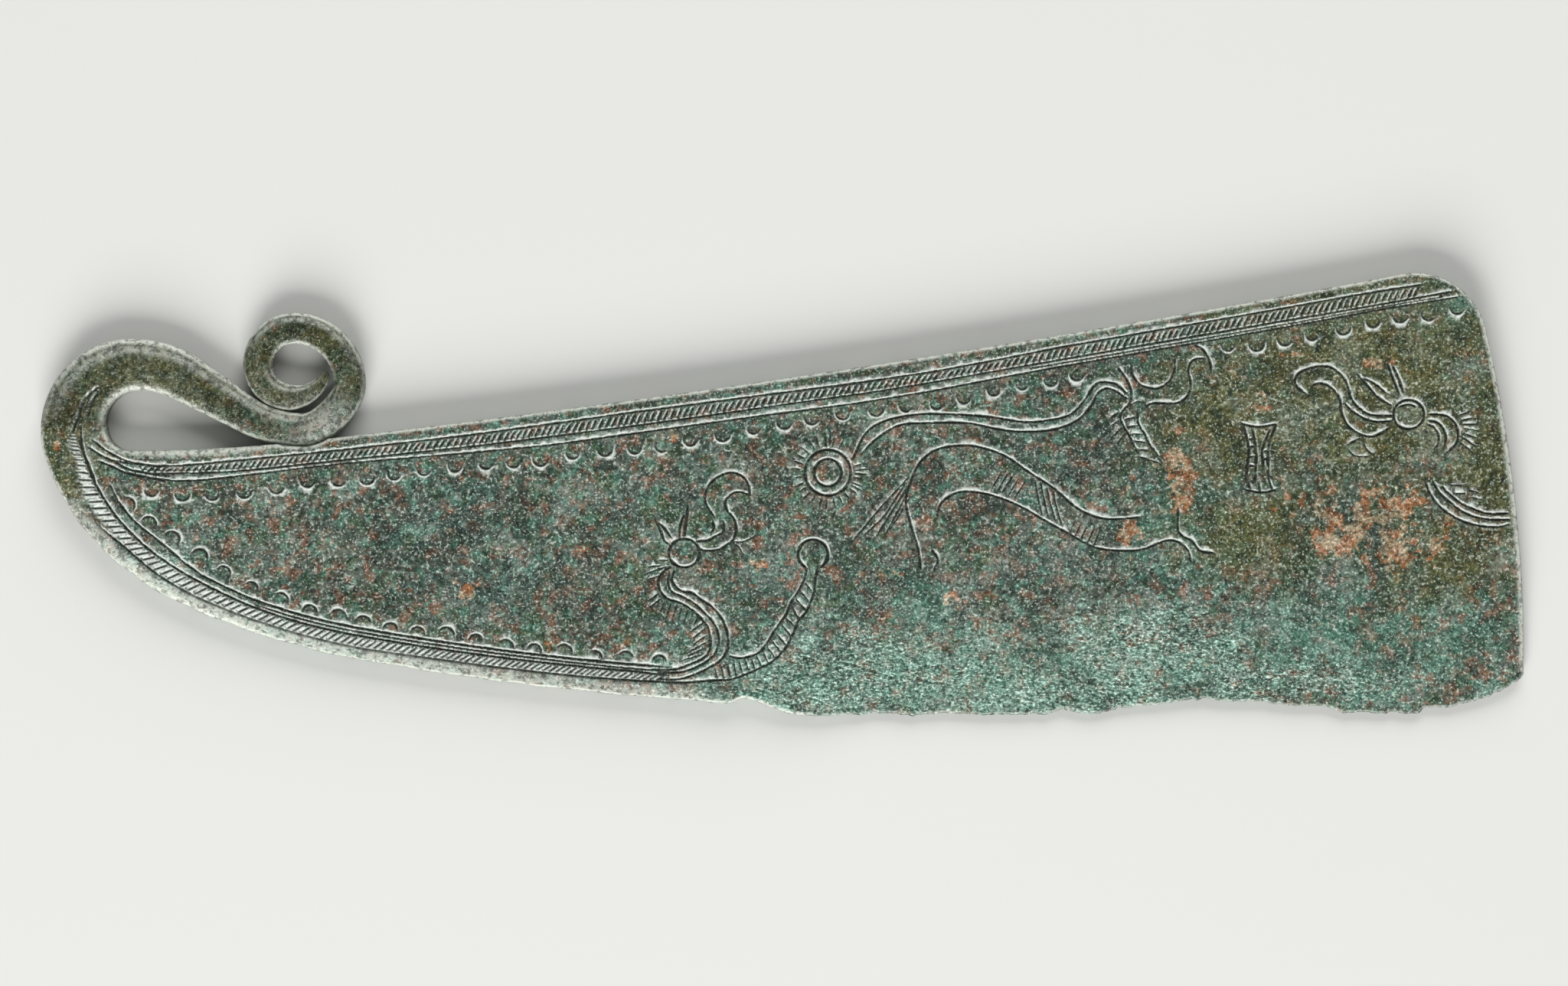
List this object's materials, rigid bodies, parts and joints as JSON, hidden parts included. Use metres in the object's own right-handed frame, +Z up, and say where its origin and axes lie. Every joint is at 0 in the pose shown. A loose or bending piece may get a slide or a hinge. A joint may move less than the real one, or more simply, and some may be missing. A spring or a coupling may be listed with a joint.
{
  "type": "bronze age razor",
  "caption": "Flat cast bronze razor with a straight back, worn cutting edge, and a handle that loops back and ends in a rolled coil resting on the back.",
  "frame": {"origin": "middle of the outline, on the plane that the plain face rests on", "axes": "+X along the blade from the handle's loop to the heel, +Y from the cutting edge to the back, +Z up through the plate towards the engraved face"},
  "size_m": [0.12, 0.0359, 0.0026],
  "materials": {
    "blade_bronze": "mottled green and brown patina with bright worn edges",
    "handle_bronze": "olive brown patina with bright worn edges",
    "coil_bronze": "olive brown patina with bright worn edges"
  },
  "bodies": {
    "root": {"blade": "blade_bronze", "handle_neck": "handle_bronze", "handle_coil": "coil_bronze"}
  },
  "joints": []
}
